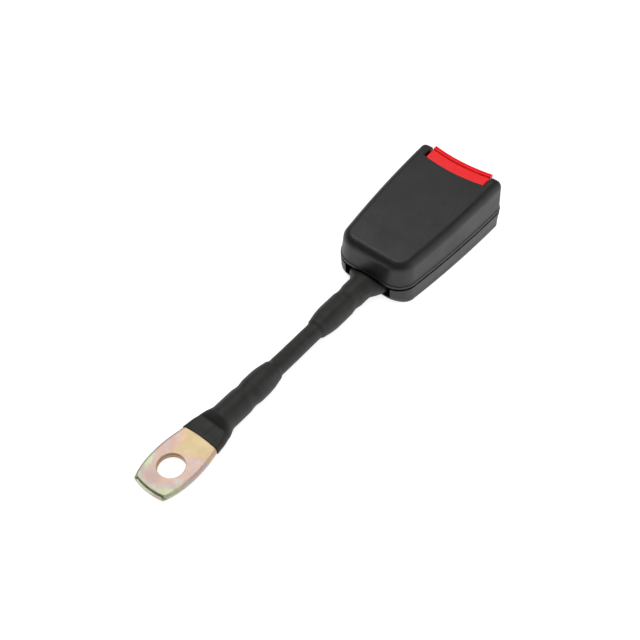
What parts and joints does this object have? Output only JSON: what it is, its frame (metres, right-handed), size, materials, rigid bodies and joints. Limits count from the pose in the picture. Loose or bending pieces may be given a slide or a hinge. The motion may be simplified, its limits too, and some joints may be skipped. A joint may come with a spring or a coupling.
{
  "type": "seat belt buckle",
  "caption": "Push-button seat belt buckle on a short stalk of sleeved steel rope, with a flat anchor tab for a bolt.",
  "frame": {"origin": "below the middle of the object's box, in the plane of the buckle's back face", "axes": "+X along the stalk from the anchor tab to the buckle's mouth, +Z out of the front cover, +Y to the left"},
  "size_m": [0.2132, 0.0472, 0.0279],
  "materials": {
    "moulded_black": "fine moulded grain, matt",
    "moulded_red": "moulded, satin",
    "moulded_natural": "moulded, natural",
    "shrink_sleeve": "heat-shrink tube, satin",
    "yellow_zinc": "yellow passivated zinc plate",
    "plated_steel": "clear zinc plate",
    "spring_steel": "drawn wire",
    "rope_steel": "galvanised wire rope"
  },
  "bodies": {
    "buckle": {"upper_cover": "moulded_black", "lower_cover": "moulded_black", "heat_shrink_sleeve": "shrink_sleeve", "anchor_terminal": "yellow_zinc", "wire_rope": "rope_steel", "upper_terminal": "plated_steel", "terminal_rivet": "plated_steel", "buckle_frame": "plated_steel", "latch_pin": "plated_steel", "latch_spring": "spring_steel", "ejector_spring": "spring_steel", "button_spring_left": "spring_steel", "button_spring_right": "spring_steel", "cover_screw_1": "plated_steel", "cover_screw_2": "plated_steel", "cover_screw_3": "plated_steel", "cover_screw_4": "plated_steel"},
    "button": {"release_button": "moulded_red"},
    "latch": {"latch_plate": "plated_steel"},
    "tongue_ejector": {"ejector": "moulded_natural"}
  },
  "joints": [
    {"name": "button_press", "type": "slide", "parent": "buckle", "child": "button", "axis": [-1, 0, 0], "range_m": [0, 0.0045], "stiffness_N_per_m": 1200, "springref_m": -0.004, "deforming": ["button_spring_left", "button_spring_right"]},
    {"name": "latch_lift", "type": "hinge", "parent": "buckle", "child": "latch", "pos_m": [0.06025, 0, 0.0132], "axis": [0, -1, 0], "range_deg": [0, 12.5], "deforming": ["latch_spring"]},
    {"name": "ejector_slide", "type": "slide", "parent": "buckle", "child": "tongue_ejector", "axis": [-1, 0, 0], "range_m": [0, 0.01], "stiffness_N_per_m": 600, "springref_m": -0.005, "deforming": ["ejector_spring"]}
  ],
  "couplings": [
    {"joint": "latch_lift", "follows": "button_press", "rad_per_m": 48.481}
  ]
}
